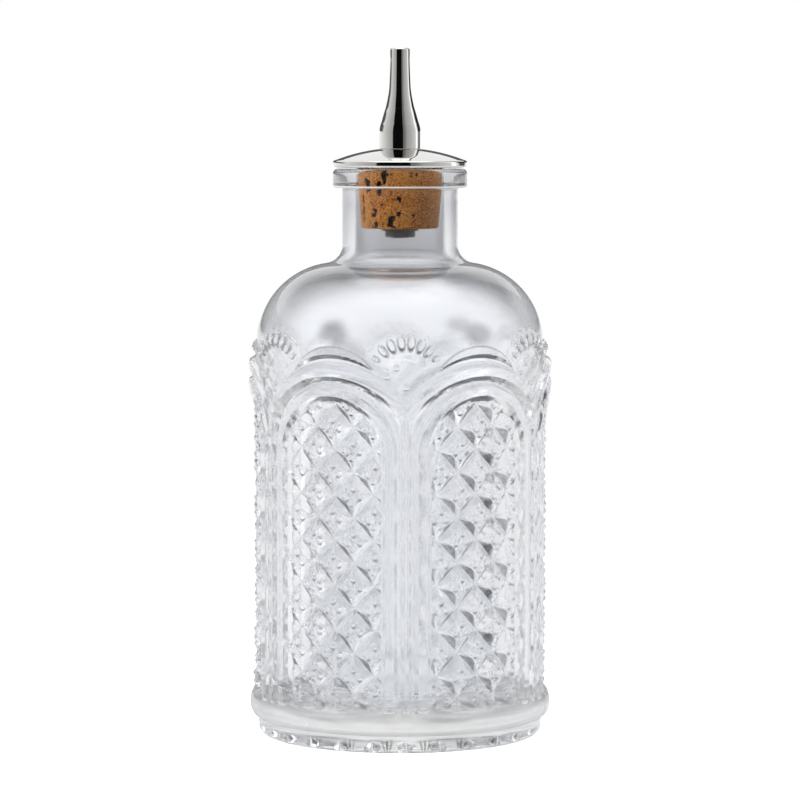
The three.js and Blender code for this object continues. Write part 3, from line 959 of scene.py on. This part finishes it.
def pitted(tree, size):
    """Sinks long pits into the cork's skin, most of them on one side, and stores how deep each
    point is."""
    place = tree.add("GeometryNodeInputPosition")
    x, y, z = tree.axes(place)
    tall = tree.add("ShaderNodeCombineXYZ", sockets={0: x, 1: y, 2: z * size["Pit stretch"]})
    bend = tree.add(
        "ShaderNodeTexNoise", sockets={"Vector": place, "Scale": 420.0, "Detail": 4.0}, out="Color"
    )
    shift = tree.add(
        "ShaderNodeVectorMath", {"operation": "SUBTRACT"}, {0: bend, 1: (0.5, 0.5, 0.5)}
    )
    shift = tree.add(
        "ShaderNodeVectorMath", {"operation": "SCALE"}, {0: shift, "Scale": size["Wander"] * 2}
    )
    wandering = tree.add("ShaderNodeVectorMath", {"operation": "ADD"}, {0: tall, 1: shift})
    cells = tree.add(
        "ShaderNodeTexVoronoi",
        sockets={"Vector": wandering, "Scale": 1 / size["Pit spacing"]},
        out="Distance",
    )
    crowd = noise(tree, place, 210.0, 1.0)
    side = 1 - tree.step(x, size["Crowded side"], size["Crowded side"] + 5 * MM)
    wide = tree.step(crowd + side * 0.22, 0.47, 0.68) * 0.36
    pit = 1 - tree.step(cells, wide * 0.6, wide + 0.02)
    pit = pit * tree.step(wide, 0.03, 0.1)
    crumbs = tree.step(noise(tree, place, 900.0, 3.0), 0.6, 0.7) * 0.4
    depth = tree.most(pit, crumbs)
    # None in the hole for the stem
    skin = tree.step(tree.length(x, y), stem_hole + 0.5 * MM, stem_hole + 1 * MM)
    depth = depth * skin
    stored = store(tree, size, "pit", depth)
    normal = tree.add("GeometryNodeInputNormal")
    inwards = tree.add(
        "ShaderNodeVectorMath",
        {"operation": "SCALE"},
        {0: normal, "Scale": depth * size["Pit depth"] * -1},
    )
    return tree.add("GeometryNodeSetPosition", sockets={"Geometry": stored, "Offset": inwards})


cork = shaped("pitted_cork", turned("cork_skin", cork_rows()), cork_finish, cork_sizes, pitted)
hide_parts("cork_stopper")
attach(cork, "stopper")


def washer_rows():
    """A flat ring with rounded outer edges."""
    low, edge = washer_top - washer_thickness, 0.12 * MM
    rows = [(stem_hole, low), (stem_hole + edge, low)]
    rows += arc(washer_radius - edge, low + edge, edge, -90, 0, 4)
    rows += arc(washer_radius - edge, washer_top - edge, edge, 0, 90, 4)
    rows += [(stem_hole + edge, washer_top), (stem_hole, washer_top)]
    return with_sides(rows, METAL)


washer = in_place("steel_washer", turned("steel_washer", washer_rows()))
washer.data.materials.append(steel_finish)
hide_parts("end_washer")
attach(washer, "stopper")

# The stem and the nut are shown as the CAD made them
for name in ("stem_tube", "clamp_nut"):
    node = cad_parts[name]
    node.data.materials.clear()
    node.data.materials.append(steel_finish)


def white_floor(tree):
    """White, and whiter still to the eye, so that only the shadow tells it from the backdrop."""
    cloudy = noise(tree, object_place(tree), 9, 2)
    cloth = tree.add(
        "ShaderNodeBsdfPrincipled",
        sockets={
            "Base Color": tree.mix(cloudy, (0.93, 0.93, 0.93, 1), (0.95, 0.95, 0.95, 1)),
            "Roughness": 0.85,
        },
    )
    path = tree.add("ShaderNodeLightPath")

    def glow(strength):
        return tree.add("ShaderNodeEmission", sockets={"Color": (1, 1, 1, 1), "Strength": strength})

    to_glass, to_eye = glow(0.02), glow(0.52)
    through = tree.add(
        "ShaderNodeMixShader", sockets={0: path["Is Transmission Ray"], 1: glow(0.0), 2: to_glass}
    )
    extra = tree.add(
        "ShaderNodeMixShader", sockets={0: path["Is Camera Ray"], 1: through, 2: to_eye}
    )
    return tree.add("ShaderNodeAddShader", sockets={0: cloth, 1: extra})


floor_half = 0.6
floor_corners = [(-1, -1), (1, -1), (1, 1), (-1, 1)]
floor_mesh = bpy.data.meshes.new("floor")
floor_mesh.from_pydata(
    [(x * floor_half, y * floor_half, 0) for x, y in floor_corners], [], [(0, 1, 2, 3)]
)
floor_mesh.materials.append(material("white_floor", white_floor))
in_place("floor", floor_mesh)

# The studio: white to the eye and behind the bottle, pale walls, and a dark card in front
camera_azimuth = -2.4
to_degrees = 180 / math.pi
world = bpy.data.worlds.new("studio")
world.use_nodes = True
world.node_tree.nodes.clear()
scene.world = world
sky = Tree(world.node_tree)
way = sky.add("ShaderNodeTexCoord", out="Generated")
east, north, high = sky.axes(way)
# Degrees round from straight ahead of the camera, positive to its right
round_to = sky.math("ARCTAN2", east, north) * to_degrees
steep = sky.math("ARCSINE", high) * to_degrees


def between(value, low, top, soft):
    """1 from low to top, with soft ends."""
    return sky.step(value, low - soft, low + soft) * (1 - sky.step(value, top - soft, top + soft))


# Through glass: white at the horizon all round, a dark band above it, and white again overhead
off_axis = abs(round_to)
in_front = 1 - sky.step(off_axis, 40, 60)
ahead = 0.4 + 0.57 * sky.step(steep, -9, -5) + 0.08 * sky.step(steep, -1, 1)
aside = 0.9 - 0.2 * sky.step(off_axis, 106, 120)
dark_band = between(steep, 23, 60, 3) * (0.97 - 0.25 * sky.step(off_axis, 80, 120))
through = (ahead * in_front + aside * (1 - in_front)) * (1 - dark_band)
# In polished metal: walls that brighten away from a black card round the camera, a dark gap
# and a bright edge to the right, a dark band low down behind, and a bright lamp overhead
toward = sky.math("ARCTAN2", east, 0 - north) * to_degrees - camera_azimuth
beside = between(steep, -25, 58, 4)
card = between(toward, -41, 18, 2) * beside
walls = (0.42 + 0.62 * sky.step(abs(toward), 30, 150)) * (1 - 0.55 * between(toward, 0, 34, 10))
glint = 0.6 * between(toward, 100, 113, 3)
right_gap = between(toward, 122, 148, 4) * beside
low_gap = between(steep, 1, 17, 1) * (1 - sky.step(off_axis, 55, 75))
overhead = sky.step(steep, 54, 70) * 1.3
mirrored = (walls + glint) * (1 - card) * (1 - 0.88 * right_gap) * (1 - 0.9 * low_gap)
mirrored = mirrored + 0.004 + overhead
rays = sky.add("ShaderNodeLightPath")
camera_ray = rays["Is Camera Ray"]
glass_ray = rays["Is Transmission Ray"]
metal_ray = rays["Is Glossy Ray"] * (1 - glass_ray)
unseen = 1 - camera_ray
lighting = 0.6 * (1 - metal_ray) * (1 - glass_ray) * unseen
strength = camera_ray + through * glass_ray * unseen + mirrored * metal_ray * unseen + lighting
background = sky.add(
    "ShaderNodeBackground", sockets={"Color": (1, 1, 1, 1), "Strength": strength}
)
sky.add("ShaderNodeOutputWorld", sockets={"Surface": background})


def soft_lamp(name, place, aim, size, power):
    lamp = bpy.data.lights.new(name, "AREA")
    lamp.shape = "RECTANGLE"
    lamp.size, lamp.size_y = size
    lamp.energy = power
    lit = bpy.data.objects.new(name, lamp)
    lit.location = place
    lit.visible_glossy = False
    lit.rotation_euler = (Vector(aim) - Vector(place)).to_track_quat("-Z", "Y").to_euler()
    scene.collection.objects.link(lit)


bottle_middle = (0, 0, 0.08)
soft_lamp("left_softbox", (-0.75, -0.35, 0.45), bottle_middle, (0.5, 0.7), 3.0)
soft_lamp("top_softbox", (0.1, 0.15, 0.95), bottle_middle, (0.6, 0.6), 2.8)

# The camera stands where the photograph's did
distance = 861 * MM
camera_height = 142.8 * MM
looks_down = math.radians(4.44)
camera_turn = math.radians(camera_azimuth)
camera = bpy.data.cameras.new("camera")
camera.sensor_width = 36
camera.lens = 171
camera.clip_start = 0.05
camera_object = bpy.data.objects.new("camera", camera)
camera_object.location = (
    distance * math.sin(camera_turn), -distance * math.cos(camera_turn), camera_height
)
camera_object.rotation_euler = (math.pi / 2 - looks_down, 0, camera_turn)
scene.collection.objects.link(camera_object)
scene.camera = camera_object
scene.view_settings.view_transform = "Standard"
# Light goes round many corners in thick glass
scene.cycles.max_bounces = 40
scene.cycles.transmission_bounces = 40
scene.cycles.glossy_bounces = 32
